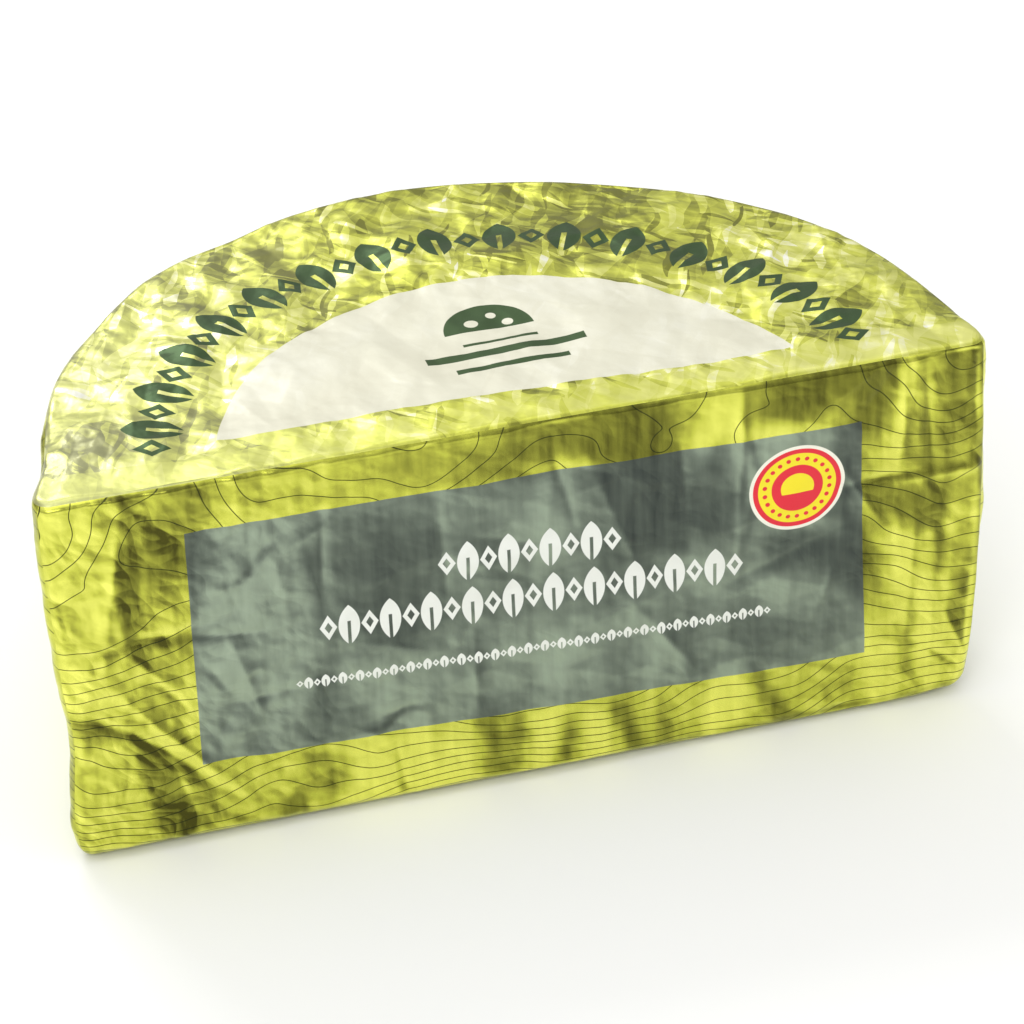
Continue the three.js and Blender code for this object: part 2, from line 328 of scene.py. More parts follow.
# Dents: where on the cut face, half length, lean from upright in degrees, half width, depth
cut_face_dents = (
    (-86, 70, 17, 10, 1.8, 0.9),
    (-81, 66, 16, 6, 1.4, -0.6),
    (-78, 53.5, 11, 84, 1.2, -0.9),
    (-64, 51, 9, 97, 1.4, -1.0),
    (-80, 45, 7, -40, 1.2, 0.8),
    (-77, 40, 6, -35, 1.1, -0.7),
    (-77, 28, 13, -38, 1.3, 1.0),
    (-81, 27, 9, -50, 1.6, -0.7),
    (-91, 33, 6, 60, 1.8, -0.8),
    (-76, 15, 11, -18, 2.2, -0.9),
    (-88, 18, 7, 12, 1.3, -0.6),
    (-58, 66, 10, 2, 1.0, -0.6),
    (-52, 61, 6, -8, 1.1, 0.6),
    (-61, 57, 7, -18, 1.3, -0.7),
    (-61, 41, 8, -16, 1.5, 0.7),
    (-57, 34, 6, 85, 1.1, -0.6),
    (-66, 40, 8, -32, 1.8, -0.6),
    (-45, 72, 5, 62, 1.0, 0.6),
    (-43, 66, 12, 3, 1.0, -0.7),
    (-18, 62, 12, -3, 1.8, -0.6),
    (-12, 31, 9, 0, 0.9, 0.6),
    (-30, 24, 4, 80, 1.2, -0.6),
    (-29, 10, 8, -8, 0.9, -0.5),
    (8, 72, 12, -14, 2.0, -0.6),
    (20, 60, 14, -20, 2.4, 0.8),
    (34, 66, 12, -6, 1.8, -0.7),
    (30, 30, 10, -35, 2.0, 0.6),
    (46, 68, 20, 1, 1.0, 0.7),
    (56, 45, 12, 70, 2.2, -0.7),
    (66, 38, 9, 20, 1.2, 0.6),
    (72, 58, 8, -30, 1.4, 0.8),
    (76, 60, 8, 86, 1.2, -0.9),
    (90, 59, 9, 88, 1.2, 0.9),
    (81, 76, 14, 2, 2.2, 0.8),
    (87, 72, 12, -4, 1.4, -0.7),
    (72, 86, 8, 55, 1.2, 0.6),
    (76, 82, 7, 35, 1.1, -0.6),
    (84, 36, 20, 2, 1.6, 0.6),
    (95, 17, 7, -25, 1.1, 0.8),
    (92, 12, 6, -50, 1.0, -0.7),
    (96, 11, 6, 20, 0.9, -0.7),
)

# Painted patches of reflection and shade: where, half width and height, lean in degrees, and how much
# brighter or darker
cut_face_painted_patches = (
    (-78, 68, 9, 24, 6, -0.42),
    (-94, 60, 6, 26, 0, 0.25),
    (-92, 33, 5, 4, 60, -0.36),
    (-76, 17, 4.5, 15, -16, -0.5),
    (-80, 32, 4, 9, -40, -0.36),
    (-58, 45, 13, 26, 0, 0.36),
    (-31, 58, 13, 17, 0, -0.55),
    (-8, 31, 22, 9, 0, 0.15),
    (5, 52, 26, 9, 0, -0.12),
    (27, 67, 12, 18, -16, -0.85),
    (6, 66, 6, 12, 0, 0.25),
    (40, 43, 14, 7, 20, 0.25),
    (40, 62, 7, 12, 0, -0.4),
    (52, 67, 6, 10, 0, 0.3),
    (70, 56, 4, 26, 0, -0.45),
    (60, 45, 13, 5, 12, -0.5),
    (58, 24, 16, 7, 0, -0.2),
    (2, 83, 24, 7, 0, -0.45),
    (22, 82, 6, 8, 0, -0.3),
    (42, 82, 7, 7, 0, 0.3),
    (57, 83, 6, 8, 25, -0.75),
    (72, 87, 9, 6, 40, -0.6),
    (81, 77, 4.5, 14, 0, 0.5),
    (96, 72, 5, 18, 0, -0.3),
    (85, 53, 9, 5, 0, -0.45),
    (79, 34, 3, 20, 0, 0.3),
    (90, 34, 3, 22, 0, 0.3),
    (-52, 3, 3, 3, 0, -0.5),
    (-44, 9, 3, 9, -8, -0.3),
    (-36, 8, 4, 9, 0, 0.4),
    (-22, 8, 6, 10, 0, 0.6),
    (-11, 11, 3, 9, -6, -0.65),
    (-5, 7, 3, 8, 0, -0.3),
    (2, 8, 4, 9, 8, 0.5),
    (9, 8, 3, 8, 0, -0.4),
    (17, 9, 4.5, 9, 0, 0.55),
    (22, 10, 3, 9, -20, -0.65),
    (30, 8, 4, 8, 0, -0.2),
    (44, 9, 4, 9, 0, 0.55),
    (51, 9, 2.5, 9, -25, -0.6),
    (61, 9, 6, 9, 0, -0.15),
    (77, 12, 3, 14, 0, 0.35),
    (83, 10, 3, 12, 0, -0.35),
    (88, 10, 2, 10, 0, 0.3),
    (-41, 27, 4, 12, 0, -0.35),
    (-12, 28, 3, 12, 0, -0.3),
    (4, 30, 6, 7, 20, 0.2),
    (86, 22, 12, 10, 0, 0.2),
    (-84, 67, 1.6, 15, 8, 0.45),
    (-80.5, 66, 2.2, 15, 8, -0.35),
    (-74, 70, 2.5, 12, 0, -0.3),
    (-86, 30, 1.5, 10, -55, -0.5),
    (-84.5, 32, 1.3, 10, -55, 0.4),
    (-78, 24, 1.6, 12, -40, -0.5),
    (-76.5, 26, 1.4, 12, -40, 0.4),
    (-80, 12, 2.4, 12, -14, -0.55),
    (-76, 12, 2, 12, -14, 0.45),
    (-74, 53.5, 1.4, 9, 84, -0.6),
    (-74, 55.5, 1.1, 9, 84, 0.35),
    (-60, 67, 1.1, 8, 60, -0.35),
    (-45, 62, 0.9, 12, 0, -0.35),
    (-29, 23, 1.3, 8, 80, -0.4),
    (-12.5, 34, 0.9, 12, 0, 0.25),
    (46, 66, 0.9, 16, 0, 0.35),
    (47.8, 66, 1, 16, 0, -0.3),
)


def along_and_across(point, x, z, degrees):
    """Distances along and across a line that leans from upright on the cut face."""
    turn = math.radians(degrees)
    beside, above = point[..., 0] - x, point[..., 2] - z
    along = beside * math.sin(turn) + above * math.cos(turn)
    return along, beside * math.cos(turn) - above * math.sin(turn)


def dents(point, marks):
    """Sharp folds that fade out along their length."""
    depth = np.zeros(point.shape[:-1])
    for x, z, half_length, degrees, half_width, deep in marks:
        along, across = along_and_across(point, x, z, degrees)
        depth += deep * np.exp(-((along / half_length) ** 2) - np.hypot(across, 0.5) / half_width)
    return depth


def patches(point, marks):
    """Broad painted bright and dark places with broken edges: painted reflection and shade where the
    foil lies turned a little.
    """
    upright = point * (1, 1, 0.25)
    bent = 4 * creases(point, 13, 31) + 1.2 * creases(upright, 4, 35)
    broken = point + np.stack([bent, 0 * bent, 4 * creases(point * (1, 1, 0.5), 9, 32)], -1)
    amount = np.zeros(point.shape[:-1])
    for x, z, half_width, half_height, degrees, change in marks:
        along, across = along_and_across(broken, x, z, degrees)
        amount += change * np.exp(-((along / half_height) ** 4) - (across / half_width) ** 2)
    return amount


def cut_face_relief(point, normal):
    """Soft upright bands, with small sharp crumples at the left end and few elsewhere."""
    banded = point * (1, 1, 1 / 3)
    crumpled = 0.5 + 0.65 * eased(-point[..., 0], 20, 60) + 0.3 * eased(point[..., 0], 60, 90)
    depth = 0.7 * creases(banded, 22, 3) + 0.45 * creases(point, 11, 4)
    depth += crumpled * (0.28 * creases(point, 5.5, 9) + 0.10 * creases(point, 2.6, 10))
    return own_face(-normal[..., 1]) * (depth + dents(point, cut_face_dents))


class Shade:
    """A value that changes over a surface. Arithmetic on it adds Math nodes to its finish."""

    def __init__(self, finish, socket):
        self.finish = finish
        self.socket = socket

    def __add__(self, other):
        return self.finish.maths("ADD", self, other)

    def __sub__(self, other):
        return self.finish.maths("SUBTRACT", self, other)

    def __rsub__(self, other):
        return self.finish.maths("SUBTRACT", other, self)

    def __mul__(self, other):
        return self.finish.maths("MULTIPLY", self, other)

    def __truediv__(self, other):
        return self.finish.maths("DIVIDE", self, other)

    def __neg__(self):
        return self.finish.maths("MULTIPLY", self, -1)

    def __abs__(self):
        return self.finish.maths("ABSOLUTE", self)

    __radd__ = __add__
    __rmul__ = __mul__


class Finish:
    """A material or a surround put together from nodes, with one shader."""

    def __init__(self, owner, shader="BSDF_PRINCIPLED"):
        self.owner = owner
        owner.use_nodes = True
        self.tree = owner.node_tree
        self.shader = next(n for n in self.tree.nodes if n.type == shader)

    def feed(self, socket, value):
        if isinstance(value, Shade):
            self.tree.links.new(value.socket, socket)
        else:
            socket.default_value = value

    def node(self, kind, settings, inputs, output=0):
        made = self.tree.nodes.new(kind)
        for name, value in settings.items():
            setattr(made, name, value)
        for name, value in inputs.items():
            self.feed(made.inputs[name], value)
        return Shade(self, made.outputs[output])

    def kept(self, name):
        """A value kept at the vertices of the piece."""
        return self.node("ShaderNodeAttribute", {"attribute_name": name}, {}, "Fac")

    def maths(self, operation, *values, clamp=False):
        settings = {"operation": operation, "use_clamp": clamp}
        return self.node("ShaderNodeMath", settings, dict(enumerate(values)))

    def mix(self, amount, below, above):
        """The colour above laid over the colour below by an amount from 0 to 1."""
        return self.node("ShaderNodeMix", {"data_type": "RGBA"}, {0: amount, 6: below, 7: above}, 2)

    def place(self):
        """The surface's own X, Y and Z in millimetres."""
        spot = self.node("ShaderNodeTexCoord", {}, {}, "Object")
        in_millimetres = self.node(
            "ShaderNodeVectorMath", {"operation": "SCALE"}, {"Vector": spot, "Scale": 1 / metre}
        )
        return in_millimetres, [
            self.node("ShaderNodeSeparateXYZ", {}, {"Vector": in_millimetres}, k) for k in range(3)
        ]

    def point(self, x, y, z):
        return self.node("ShaderNodeCombineXYZ", {}, {0: x, 1: y, 2: z})

    def noise(self, place, size, detail=2, roughness=0.5):
        """Smooth noise from 0 to 1 with features of about that size in millimetres."""
        return self.node(
            "ShaderNodeTexNoise",
            {"noise_dimensions": "3D"},
            {"Vector": place, "Scale": 1 / size, "Detail": detail, "Roughness": roughness},
        )

    def bent(self, place, size, amount):
        """The place shifted by smooth noise, so that straight borders come out bent."""
        shift = self.node(
            "ShaderNodeTexNoise", {}, {"Vector": place, "Scale": 1 / size, "Detail": 0}, "Color"
        )
        return self.node(
            "ShaderNodeVectorMath", {"operation": "MULTIPLY_ADD"}, {0: shift, 1: (amount,) * 3, 2: place}
        )

    def stretched(self, place, degrees, factor):
        """The place squeezed along one way in X and Y, so that a pattern on it comes out longer."""
        turn = (0, 0, math.radians(degrees))
        return self.node(
            "ShaderNodeMapping",
            {"vector_type": "TEXTURE"},
            {"Vector": place, "Rotation": turn, "Scale": (factor, 1, 1)},
        )

    def cells(self, place, size, output):
        """Chance cells of about that size over X and Y."""
        return self.node(
            "ShaderNodeTexVoronoi",
            {"voronoi_dimensions": "2D"},
            {"Vector": place, "Scale": 1 / size},
            output,
        )

    def facets(self, place, size):
        """A chance value from 0 to 1 for each broken facet of about that size."""
        return self.node("ShaderNodeSeparateColor", {}, {"Color": self.cells(place, size, "Color")}, 0)

    def peaks(self, place, size):
        """Depth below the nearest of many scattered peaks, with sharp folds between them."""
        return self.cells(place, size, "Distance") * size

    def facing(self, height, place, way):
        """How steeply a relief faces one way, from its heights a small step apart."""
        further = self.node("ShaderNodeVectorMath", {"operation": "ADD"}, {0: place, 1: way})
        return (height(place) - height(further)) / Vector(way).length

    def crinkle(self, spot):
        """The fine unevenness of thin foil, as a bent surface direction."""
        fine = self.noise(spot, 1.6, 1)
        return self.node("ShaderNodeBump", {}, {"Strength": 0.15, "Distance": 0.0002, "Height": fine})

    def inked(self, distance, softness=0.12):
        """1 where a distance in millimetres is inside a printed shape, 0 outside it."""
        middle = 0.5
        return self.maths("MULTIPLY_ADD", distance, 1 / softness, middle, clamp=True)

    def least(self, *values):
        found = values[0]
        for value in values[1:]:
            found = self.maths("MINIMUM", found, value)
        return found

    def most(self, *values):
        found = values[0]
        for value in values[1:]:
            found = self.maths("MAXIMUM", found, value)
        return found

    def reach(self, x, y):
        """Distance of a point from the zero of its two coordinates."""
        return self.maths("SQRT", x * x + y * y)

    def dress(self, piece, **sockets):
        for name, value in sockets.items():
            self.feed(self.shader.inputs[name.replace("_", " ")], value)
        piece.data.materials.append(self.owner)


# The foil's plain yellow between the colours of its painted shade and its painted highlight
foil_painted_shade = (0.07, 0.068, 0.01, 1)
foil_yellow = (0.56, 0.585, 0.075, 1)
foil_painted_highlight = (0.90, 0.91, 0.17, 1)
line_ink = (0.018, 0.024, 0.008, 1)
white_ink = (0.82, 0.84, 0.78, 1)
line_cover = 0.95  # how much of the foil the ink of a line hides
plain_tone = 0.55  # the tone at which the lacquer has its plain colour


def foil_colour(finish, tone, deep, plain, light):
    """Foil's colour for its tone of painted light: the painted shade colour at 0, the painted highlight
    colour at 1 and the plain colour in between.
    """
    steepness = 1 / (1 - plain_tone)
    to_plain = finish.maths("DIVIDE", tone, plain_tone, clamp=True)
    to_light = finish.maths("MULTIPLY_ADD", tone, steepness, -plain_tone * steepness, clamp=True)
    return finish.mix(to_light, finish.mix(to_plain, deep, plain), light)


def contour_lines(finish, across, up):
    """Thin lines of equal height of an invented hill country, closer together low down."""
    hill_width, hill_height, cut_through = 40, 13, 31
    rise, levelling_off = 0.42, 0.0018  # the whole country climbs from the base, less and less

    def ground(x, z):
        hills = finish.noise(finish.point(x * 0.8, cut_through, z), hill_width, 2, 0.4)
        return hills * hill_height + z * rise - z * z * levelling_off

    small = 0.12
    half_line, least_slope = 0.1, 0.02
    here = ground(across, up)
    slope_across = (ground(across + small, up) - here) / small
    slope_up = (ground(across, up + small) - here) / small
    off_level = 0.5 - abs(finish.maths("FRACT", here) - 0.5)
    from_line = off_level / finish.most(finish.reach(slope_across, slope_up), least_slope)
    return finish.inked(half_line - from_line, half_line)


cut_face, formed, normal = foil_sheet(
    "cut_face_foil",
    np.linspace(0, 1, front_steps[0] + 1)[None, :],
    np.zeros((1, 1)),
    np.linspace(0, 1, front_steps[1] + 1)[:, None],
    cut_face_relief,
    lambda point: (spread(point[..., 0]), spread(point[..., 2])),
)
place = formed + (0, wheel_radius / 2, 0)

# Painted light kept as the lacquer's tone: painted shade beside the panel and under the top edge, a
# painted highlight low at the right, painted upright streaks of reflection, painted reflection brighter
# where a crease turns it to the left or down, and random mottling
streaks = creases(formed * (1, 1, 0.12), 3.2, 33) + creases(formed * (1, 1, 0.2), 7, 34)
turned_down = lean(formed, normal, (-0.75, 0, -0.9))
right_strip = eased(place[..., 0], 68, 76)
painted_shade_under_top = eased(place[..., 2], 76, 82) * eased(place[..., 0], -75, -60)
low = right_strip * (1 - eased(place[..., 2], 12, 22))
shade = patches(place, cut_face_painted_patches) * (1 + 0.4 * streaks)
mottled = 0.1 * creases(place * (1, 1, 0.5), 9, 36) + 0.06 * creases(place, 3, 37)
set_painted_light_and_mottle(
    cut_face,
    0.6 - 0.14 * right_strip - 0.18 * painted_shade_under_top + 0.3 * low + shade
    + (0.12 + 0.2 * right_strip) * streaks + mottled + 2.2 * turned_down,
)

# Painted shading of small crumples crowds at the left end, with less beside it on the panel and at the
# right end
left_end = eased(-place[..., 0], 60, 76)
right_end = eased(place[..., 0], 70, 84)
panel_side = eased(-place[..., 0], 30, 60) * (1 - left_end)
set_painted_crumple_strength(cut_face, 0.12 + 0.42 * left_end + 0.14 * panel_side + 0.16 * right_end)

front_print = Finish(bpy.data.materials.new("printed foil of the cut face"))
spot, (x, y, z) = front_print.place()


def upright_painted_light(finish, across, up):
    """Painted light on an upright side: the kept tone, painted upright streaks of reflection and patches
    of painted shading of small crumples.
    """
    crumple_strength, streak_strength = 0.3, 0.3

    def small_crumples(spot):
        large = finish.peaks(finish.stretched(spot, -62, 4), 4)
        middle = finish.peaks(finish.stretched(spot, -28, 3), 3.1)
        fine = finish.peaks(finish.stretched(spot, 80, 4), 1.7)
        return large + middle * 0.6 + fine * 0.5

    bent = finish.bent(finish.point(across, up, 0), 8, 7)
    # Painted shading of the small crumples, from the slope of their heights
    crumples = finish.facing(small_crumples, bent, (0.15, 0.3, 0))
    chance = finish.noise(finish.point(across, 17, up), 9, 1)
    in_patches = finish.maths("MULTIPLY_ADD", chance, 3, -0.85, clamp=True)
    crumpled = crumples * in_patches * finish.kept("crumpled")
    # Painted upright streaks of reflection
    painted_streaks = finish.noise(finish.point(across, 5, up * 0.12), 1.8, 2) - 0.5
    return finish.kept("tone") + crumpled * crumple_strength + painted_streaks * streak_strength


tone = upright_painted_light(front_print, x, z)
lines = contour_lines(front_print, x, z)
foil = foil_colour(front_print, tone, foil_painted_shade, foil_yellow, foil_painted_highlight)
colour = front_print.mix(lines * line_cover, foil, line_ink)

# The grey-green panel, whose edges are printed a little out of true
panel_left, panel_right, panel_low, panel_high = -70.5, 72.8, 18.4, 76.4
panel_middle = 45
right_edge_lean, low_edge_slope, high_edge_slope = 0.03, -0.0265, 0.014
panel_edge = front_print.least(
    x - panel_left,
    panel_right - x - (z - panel_middle) * right_edge_lean,
    z - panel_low - x * low_edge_slope,
    panel_high - z - x * high_edge_slope,
)
on_panel = front_print.inked(panel_edge)
# The panel's plain grey-green between the colours of its painted shade and its painted highlight,
# following the same tone of painted light
panel_painted_shade = (0.035, 0.045, 0.038, 1)
panel_green = (0.174, 0.212, 0.162, 1)
panel_painted_highlight = (0.35, 0.425, 0.312, 1)
panel = foil_colour(front_print, tone, panel_painted_shade, panel_green, panel_painted_highlight)
colour = front_print.mix(on_panel, colour, panel)


def lozenge(finish, x, y, half_width, half_height):
    """Distance inside a lozenge, to the nearest of its four sides."""
    lean = half_width * half_height / math.hypot(half_width, half_height)
    return lean * (1 - abs(x) / half_width - abs(y) / half_height)


def ring(finish, inside, stroke):
    """The outer edge of a shape, of that line width."""
    return finish.least(inside, stroke - inside)


def repeated(finish, x, pitch):
    """x counted from the middle of its own repeat of a pattern."""
    return (finish.maths("FRACT", x / pitch) - 0.5) * pitch


def leaf(finish, x, y, half_width, half_height):
    """Distance inside a pointed leaf standing upright, with a slit up its lower half."""
    radius = (half_height**2 + half_width**2) / (2 * half_width)
    half_slit, slit_top = half_width * 0.16, half_height * 0.2
    blade = radius - finish.reach(abs(x) + (radius - half_width), y)
    slit = finish.least(half_slit - abs(x), slit_top - y)
    return finish.least(blade, -slit)


def motif_row(finish, x, y, middle_x, middle_y, count, pitch, half_height):
    """A centred row of leaves with lozenge rings between them."""
    along, above = x - middle_x, y - middle_y
    past_last = 0.22 * pitch
    within = count * pitch / 2 + past_last - abs(along)
    nearest = repeated(finish, along + count * pitch / 2, pitch)
    between = repeated(finish, along + (count + 1) * pitch / 2, pitch)
    large = leaf(finish, nearest, above, pitch * 0.26, half_height)
    small = lozenge(finish, between, above, pitch * 0.21, half_height * 0.6)
    return finish.least(within, finish.most(large, ring(finish, small, pitch * 0.1)))


# Rows of ornament across the panel: middle, height, number of leaves, pitch and half height
title_rows = (
    (0.5, 58.2, 4, 8.8, 4.9),
    (1.1, 46.9, 10, 8.7, 4.9),
    (1.4, 33.9, 28, 3.6, 1.5),
)
title_slope = 0.034
up_title = z + x * title_slope
title = front_print.most(*(motif_row(front_print, x, up_title, *row) for row in title_rows))
colour = front_print.mix(front_print.inked(title) * on_panel, colour, white_ink)

# The round seal: discs printed over each other, a ring of dots and a half disc
seal_x, seal_z = 58.1, 61.9
seal_yellow = (0.86, 0.72, 0.01, 1)
seal_red = (0.72, 0.012, 0.03, 1)
seal_edge = (0.85, 0.83, 0.70, 1)
seal_radius, middle_radius, half_disc_radius, half_disc_drop = 10.4, 5.6, 3.6, 1.2
seal_discs = ((seal_radius, seal_edge), (9.6, seal_red), (8.5, seal_yellow), (middle_radius, seal_red))
dot_count, dot_ring, dot_radius = 22, 7.1, 0.5
from_seal = front_print.reach(x - seal_x, z - seal_z)
for disc_radius, disc_colour in seal_discs:
    colour = front_print.mix(front_print.inked(disc_radius - from_seal), colour, disc_colour)
round_seal = front_print.maths("ARCTAN2", z - seal_z, x - seal_x) * dot_ring
to_dot = repeated(front_print, round_seal, 2 * math.pi * dot_ring / dot_count)
dots = dot_radius - front_print.reach(to_dot, from_seal - dot_ring)
colour = front_print.mix(front_print.inked(dots), colour, seal_red)
half_disc = front_print.least(half_disc_radius - from_seal, z - seal_z + half_disc_drop)
colour = front_print.mix(front_print.inked(half_disc), colour, seal_yellow)
on_seal = front_print.inked(seal_radius - from_seal)

front_print.dress(
    cut_face,
    Base_Color=colour,
    Metallic=0.9 - on_panel * 0.3 - on_seal * 0.55,
    Roughness=0.26 + on_panel * 0.12,
    Normal=front_print.crinkle(spot),
)
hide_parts(wrapped_node)
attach(cut_face, "root")

# Foil on the top
# The same sheet carried over the half-round top, where nothing pulls it flat, so it is
# crumpled all over into small sharp facets. A cream half-moon and an arched band of dark
# green ornament are printed on it.

# The cream half-moon, cut off straight a little behind the cut edge
moon_radius, moon_x, moon_y = 62.6, -0.4, -5.0
moon_cut, moon_cut_slope = 11.8, 0.035


def top_relief(point, normal):
    """Crumples of several sizes, calmer along the cut edge and under the cream print."""
    in_moon = moon_radius - np.hypot(point[..., 0], point[..., 1] - moon_y)
    off_moon = 1 - eased(point[..., 1], 10, 14) * eased(in_moon, 0, 5)
    calm = (0.3 + 0.7 * eased(point[..., 1], 4, 13)) * (0.4 + 0.6 * off_moon)
    depth = 0.75 * creases(point, 17, 1) + 0.35 * creases(point, 8, 2)
    depth += calm * (0.42 * creases(point, 5.2, 11) + 0.17 * creases(point, 2.9, 12))
    return own_face(normal[..., 2]) * depth


top_steps = (440, 210)
top, formed, normal = foil_sheet(
    "top_foil",
    np.linspace(0, 1, top_steps[0] + 1)[None, :],
    np.linspace(0, 1, top_steps[1] + 1)[:, None],
    np.ones((1, 1)),
    top_relief,
    lambda point: (spread(point[..., 0]), spread(point[..., 1])),
)
place = formed + (0, wheel_radius / 2, 0)

# The lacquer is smudged at random; painted highlights make it paler at the ends and along the cut edge,
# painted shade makes it darker at the far side and at the rim, and painted reflection makes it brighter
# where a crease turns it forward
rim_painted_shade = eased(np.hypot(place[..., 0], place[..., 1]), 92, 98)
strip = 1 - eased(place[..., 1], 6, 12)
painted_highlight_left = eased(-place[..., 0], 10, 80) * eased(place[..., 1], 90, 40)
painted_highlight_right = eased(place[..., 0], 42, 90)
far = eased(place[..., 1], 66, 88) * eased(place[..., 0], -28, 0)
strip_right = eased(place[..., 0], 0, 60)
smudges = creases(place, 19, 41) + 0.7 * creases(place, 9, 42)
turned_forward = lean(formed, normal, (-0.35, -0.9, 0))
turned_out = eased(normal[..., 2], 0.98, 0.8)
set_painted_light_and_mottle(
    top,
    0.5 + 0.27 * smudges * (1 - 0.7 * strip) + 1.1 * turned_forward * (1 - 0.75 * strip)
    + 0.1 * strip * (1 + 1.6 * strip_right) + 0.02 * painted_highlight_left * (1 - 4 * strip)
    + 0.12 * painted_highlight_right - 0.24 * far - 0.3 * turned_out - 0.12 * rim_painted_shade,
)
# The top's plain yellow between the colours of its painted shade and painted highlight, a near white for
# painted glints and sheen, and the cream print's painted shade, plain and painted highlight colours
top_painted_shade = (0.19, 0.195, 0.022, 1)
top_yellow = (0.58, 0.605, 0.085, 1)
top_painted_highlight = (0.80, 0.80, 0.27, 1)
top_painted_glint_and_sheen = (0.90, 0.895, 0.78, 1)
moon_shade = (0.60, 0.58, 0.45, 1)
moon_cream = (0.655, 0.64, 0.51, 1)
moon_light = (0.72, 0.71, 0.60, 1)
band_green = (0.05, 0.09, 0.034, 1)
top_print = Finish(bpy.data.materials.new("printed foil of the top"))
spot, (x, y, z) = top_print.place()
depth_in = y + wheel_radius / 2
bent = top_print.bent(spot, 11, 5)


def shards(spot):
    """Folds between long scattered shards of two sizes that lie across each other."""
    large = top_print.peaks(top_print.stretched(spot, 48, 2.6), 5.5)
    return large + top_print.peaks(top_print.stretched(spot, -35, 2.2), 3) * 0.7


def slivers(degrees, size):
    """A few thin slivers of foil painted bright or dark among the rest, as painted glints and painted
    shade.
    """
    chance = top_print.facets(top_print.stretched(bent, degrees, 5), size) * 2 - 1
    rare = chance * chance
    return rare * rare * chance


# Painted shading of broken facets and shards, with a few painted bright and dark slivers
facet_mean = 0.46  # taken off, so that facets darken about as much as they brighten
facets = (
    top_print.facets(top_print.stretched(bent, 62, 2.4), 5.8) * 0.5
    + top_print.facets(top_print.stretched(bent, -55, 2.2), 3.6) * 0.4
    + slivers(66, 1.5) * 0.5
    + slivers(-44, 1.3) * 0.45
    + top_print.facing(shards, bent, (-0.1, -0.3, 0)) * 0.07
    - facet_mean
)
moon_edge = top_print.least(
    moon_radius - top_print.reach(x - moon_x, depth_in - moon_y),
    depth_in - moon_cut + x * moon_cut_slope,
)
on_moon = top_print.inked(moon_edge)

# The foil is tighter along the cut edge and under the cream, and a painted pale sheen grows to the left
sheen_reach, sheen_start, cut_edge_width = 90, 0.15, 9
painted_sheen = top_print.maths("MULTIPLY_ADD", x, -1 / sheen_reach, -sheen_start, clamp=True)
near_cut = top_print.maths("LESS_THAN", depth_in, cut_edge_width)
loose = 1 - near_cut * (0.45 + painted_sheen * 0.4) - 0.7 * on_moon
tone = top_print.kept("tone") + facets * loose
colour = foil_colour(top_print, tone, top_painted_shade, top_yellow, top_painted_highlight)
glint_from, glint_gain, sheen_cover = 0.94, 2.5, 0.22
# Painted glints: the palest tones turn near white
painted_glint = top_print.maths("MULTIPLY_ADD", tone, glint_gain, -glint_gain * glint_from, clamp=True)
colour = top_print.mix(painted_glint, colour, top_painted_glint_and_sheen)
colour = top_print.mix(painted_sheen * sheen_cover, colour, top_painted_glint_and_sheen)

# The cream print carries the same painted shade and painted highlight
cream = foil_colour(top_print, tone, moon_shade, moon_cream, moon_light)
colour = top_print.mix(on_moon, colour, cream)

# Arched band of ornament between the half-moon and the rim
band_radius = 74.5
band_half_height = 6.6
band_leaves = 15
band_pitch = math.radians(10.7)
band_middle = math.radians(88.8)
turned = top_print.maths("ARCTAN2", depth_in, x)
from_middle = top_print.reach(x, depth_in)
band_length = band_radius * band_pitch
ornament = motif_row(
    top_print, turned * band_radius, from_middle, band_middle * band_radius, band_radius,
    band_leaves, band_length, band_half_height,
)
on_band = top_print.inked(ornament)
colour = top_print.mix(on_band, colour, band_green)

# Plain half-wheel sign over three short rules, in the middle of the half-moon
sign_x, sign_y, sign_radius = 3.4, 37.5, 9.6
from_sign = top_print.reach(x - sign_x, depth_in - sign_y)
sign = top_print.least(sign_radius - from_sign, depth_in - sign_y)

# Holes in it: how far right of and above its middle, and radius
for hole_x, hole_y, hole_radius in ((-3.2, 3, 1.5), (1.6, 5.2, 1.1), (4.4, 2, 1.2)):
    to_hole = top_print.reach(x - sign_x - hole_x, depth_in - sign_y - hole_y)
    sign = top_print.least(sign, to_hole - hole_radius)

# Rules under it: depth in from the cut edge, half length and half height
rules_x = sign_x + 1
for rule_y, half_length, half_height in ((32.6, 8, 0.5), (28.3, 17, 1.3), (22.6, 12, 0.9)):
    rule = top_print.least(half_length - abs(x - rules_x), half_height - abs(depth_in - rule_y))
    sign = top_print.most(sign, rule)
on_sign = top_print.inked(sign)
colour = top_print.mix(on_sign, colour, band_green)

top_print.dress(
    top,
    Base_Color=colour,
    Metallic=0.8 - (on_moon - on_sign) * 0.65,
    Roughness=0.4 + on_moon * 0.1,
    Coat_Weight=0.2 - (on_moon + on_sign) * 0.1 - on_band * 0.2,
    Normal=top_print.crinkle(spot),
)
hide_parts(wrapped_node)
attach(top, "root")

# Foil round the rind
# The sheet goes down the curved side, and the spare width is pressed into upright pleats
# that deepen towards the base edge.
pleat_count = 18
pleat_depth = 0.85
pleat_wander = 0.6
base_flat_radius = 26


def pleats(point, normal):
    """Upright pleats, also carried round the base edge and in under the base."""
    turned = np.arctan2(point[..., 1], point[..., 0])
    reach = np.hypot(point[..., 0], point[..., 1] - wheel_radius / 2)
    fallen = 1 - point[..., 2] / wheel_height
    off_ends = eased(np.sin(turned), 0.10, 0.30)
    off_middle = eased(reach, base_flat_radius, 48) * eased(point[..., 1], 6, 24)
    wander = pleat_wander * creases(point, 30, 5)
    wave = np.cos(2 * np.pi * (pleat_count * turned / np.pi + wander))
    return pleat_depth * off_ends * off_middle * fallen * (wave - turned_under(normal))


